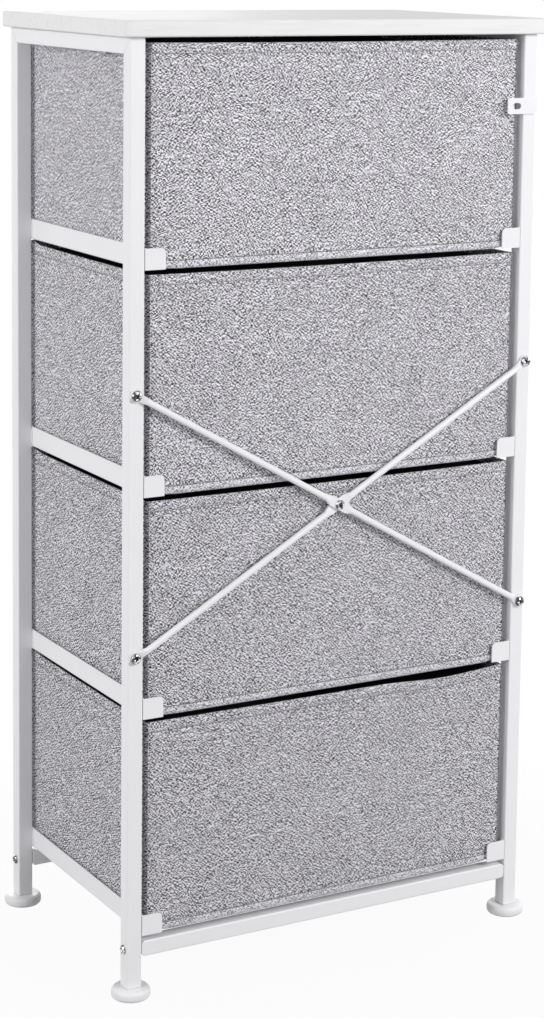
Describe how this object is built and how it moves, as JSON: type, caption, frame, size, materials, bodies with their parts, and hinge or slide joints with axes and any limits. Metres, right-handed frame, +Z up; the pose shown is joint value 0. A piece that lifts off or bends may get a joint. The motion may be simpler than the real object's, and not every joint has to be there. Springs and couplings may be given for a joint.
{
  "type": "fabric drawer dresser",
  "caption": "Tall narrow dresser with a white square-tube frame, wooden top, X-braced back, round feet and grey fabric drawers on side rails.",
  "frame": {"origin": "on the floor, under the middle of the wooden top", "axes": "+Z up; -Y towards the front, where the drawers come out; +X to the right seen from the front"},
  "size_m": [0.4566, 0.2868, 0.9],
  "materials": {
    "top_board": "white wood-look laminate, faint grey grain, satin",
    "white_metal": "white powder coat, satin",
    "white_plastic": "moulded white plastic, satin",
    "chrome": "bright plated screws",
    "grey_fabric": "linen-look non-woven, fine black and white fleck",
    "strap_webbing": "folded strap of the same fabric, stitched",
    "base_board": "raw fibreboard"
  },
  "bodies": {
    "frame": {"table_top": "top_board", "post_front_left": "white_metal", "post_rear_left": "white_metal", "post_front_right": "white_metal", "post_rear_right": "white_metal", "post_insert_front_left": "white_plastic", "post_insert_rear_left": "white_plastic", "post_insert_front_right": "white_plastic", "post_insert_rear_right": "white_plastic", "crossbar_screw_front_left": "chrome", "crossbar_screw_rear_left": "chrome", "crossbar_screw_front_right": "chrome", "crossbar_screw_rear_right": "chrome", "side_tube_left": "white_metal", "side_tube_right": "white_metal", "rail_left_1": "white_metal", "rail_left_2": "white_metal", "rail_left_3": "white_metal", "rail_left_4": "white_metal", "rail_right_1": "white_metal", "rail_right_2": "white_metal", "rail_right_3": "white_metal", "rail_right_4": "white_metal", "crossbar_front": "white_metal", "crossbar_rear": "white_metal", "top_screw_1": "chrome", "top_screw_2": "chrome", "top_screw_3": "chrome", "top_screw_4": "chrome", "brace_rod_outer": "white_metal", "brace_rod_inner": "white_metal", "brace_screw_lower_left": "chrome", "brace_screw_lower_right": "chrome", "brace_screw_upper_left": "chrome", "brace_screw_upper_right": "chrome", "brace_middle_bolt": "white_metal", "brace_middle_nut": "white_metal", "wall_bracket": "white_metal"},
    "drawer_1": {"drawer_bin_1": "grey_fabric", "drawer_base_1": "base_board", "drawer_strap_1": "strap_webbing"},
    "drawer_2": {"drawer_bin_2": "grey_fabric", "drawer_base_2": "base_board", "drawer_strap_2": "strap_webbing"},
    "drawer_3": {"drawer_bin_3": "grey_fabric", "drawer_base_3": "base_board", "drawer_strap_3": "strap_webbing"},
    "drawer_4": {"drawer_bin_4": "grey_fabric", "drawer_base_4": "base_board", "drawer_strap_4": "strap_webbing"},
    "levelling_foot_front_left": {"foot_front_left": "white_plastic"},
    "levelling_foot_rear_left": {"foot_rear_left": "white_plastic"},
    "levelling_foot_front_right": {"foot_front_right": "white_plastic"},
    "levelling_foot_rear_right": {"foot_rear_right": "white_plastic"}
  },
  "joints": [
    {"name": "drawer_1_slide", "type": "slide", "parent": "frame", "child": "drawer_1", "axis": [0, -1, 0], "range_m": [0, 0.2]},
    {"name": "drawer_2_slide", "type": "slide", "parent": "frame", "child": "drawer_2", "axis": [0, -1, 0], "range_m": [0, 0.2]},
    {"name": "drawer_3_slide", "type": "slide", "parent": "frame", "child": "drawer_3", "axis": [0, -1, 0], "range_m": [0, 0.2]},
    {"name": "drawer_4_slide", "type": "slide", "parent": "frame", "child": "drawer_4", "axis": [0, -1, 0], "range_m": [0, 0.2]},
    {"name": "foot_front_left_turn", "type": "hinge", "parent": "frame", "child": "levelling_foot_front_left", "pos_m": [-0.21, -0.125, 0.01], "axis": [0, 0, 1], "continuous": true},
    {"name": "foot_rear_left_turn", "type": "hinge", "parent": "frame", "child": "levelling_foot_rear_left", "pos_m": [-0.21, 0.125, 0.01], "axis": [0, 0, 1], "continuous": true},
    {"name": "foot_front_right_turn", "type": "hinge", "parent": "frame", "child": "levelling_foot_front_right", "pos_m": [0.21, -0.125, 0.01], "axis": [0, 0, 1], "continuous": true},
    {"name": "foot_rear_right_turn", "type": "hinge", "parent": "frame", "child": "levelling_foot_rear_right", "pos_m": [0.21, 0.125, 0.01], "axis": [0, 0, 1], "continuous": true}
  ]
}
